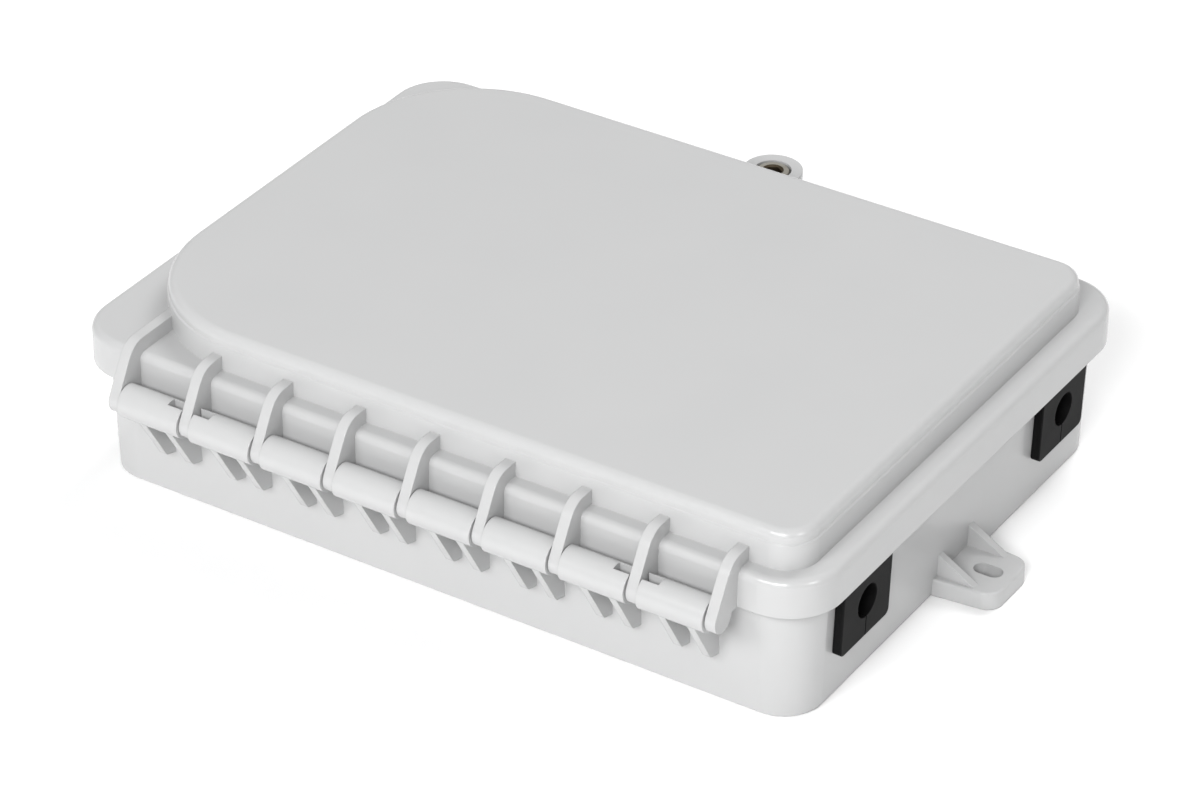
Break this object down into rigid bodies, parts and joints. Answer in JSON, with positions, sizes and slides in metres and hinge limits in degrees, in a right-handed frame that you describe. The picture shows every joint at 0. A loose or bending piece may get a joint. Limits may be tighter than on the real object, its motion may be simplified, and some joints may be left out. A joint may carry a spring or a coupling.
{
  "type": "fibre distribution box",
  "caption": "Wall-mounted fibre distribution box in light grey plastic: hinged lid with captive lock screw, slotted ears, cable entries with grommets, splice tray and adapter row inside",
  "frame": {"origin": "the middle of the flat back of the base, on the surface of the wall that the box is fixed to", "axes": "+X along the hinge towards the cable entries, +Y from the hinge towards the lock screw, +Z from the wall outwards to the lid"},
  "size_m": [0.222, 0.1698, 0.0489],
  "materials": {
    "housing_plastic": "semi-gloss light grey moulded plastic",
    "gasket_foam": "closed-cell foam",
    "screw_steel": "zinc plated",
    "seal_rubber": "matte",
    "insert_brass": "turned",
    "tray_plastic": "matte",
    "cover_plastic": "smooth",
    "holder_rubber": "soft matte",
    "bracket_steel": "zinc plated sheet",
    "grommet_rubber": "black, matte",
    "adapter_plastic": "satin",
    "plug_plastic": "soft"
  },
  "bodies": {
    "base": {"base_shell": "housing_plastic", "lock_insert": "insert_brass", "splice_tray": "tray_plastic", "tray_cover": "cover_plastic", "tray_screws": "screw_steel", "splice_holder": "holder_rubber", "adapter_bracket": "bracket_steel", "bracket_screws": "screw_steel", "grommet_front": "grommet_rubber", "cable_clamp_front": "tray_plastic", "clamp_screws_front": "screw_steel", "strength_anchor_front": "bracket_steel", "grommet_rear": "grommet_rubber", "cable_clamp_rear": "tray_plastic", "clamp_screws_rear": "screw_steel", "strength_anchor_rear": "bracket_steel", "adapter_1": "adapter_plastic", "dust_plugs_1": "plug_plastic", "adapter_2": "adapter_plastic", "dust_plugs_2": "plug_plastic", "adapter_3": "adapter_plastic", "dust_plugs_3": "plug_plastic", "adapter_4": "adapter_plastic", "dust_plugs_4": "plug_plastic", "adapter_5": "adapter_plastic", "dust_plugs_5": "plug_plastic", "adapter_6": "adapter_plastic", "dust_plugs_6": "plug_plastic", "adapter_7": "adapter_plastic", "dust_plugs_7": "plug_plastic", "adapter_8": "adapter_plastic", "dust_plugs_8": "plug_plastic"},
    "lid": {"lid_shell": "housing_plastic", "lid_gasket": "gasket_foam"},
    "lock_seal": {"lock_seal": "seal_rubber"},
    "lock_screw": {"lock_screw": "screw_steel"}
  },
  "joints": [
    {"name": "lid_hinge", "type": "hinge", "parent": "base", "child": "lid", "pos_m": [0, -0.0802, 0.0298], "axis": [1, 0, 0], "range_deg": [0, 180]},
    {"name": "lock_screw_lift", "type": "slide", "parent": "lid", "child": "lock_seal", "axis": [0, 0, 1], "range_m": [0, 0.008]},
    {"name": "lock_screw_turn", "type": "hinge", "parent": "lock_seal", "child": "lock_screw", "pos_m": [0, 0.0781, 0.0353], "axis": [0, 0, 1], "range_deg": [0, 3600]}
  ],
  "couplings": [
    {"joint": "lock_screw_turn", "follows": "lock_screw_lift", "rad_per_m": 7854}
  ]
}
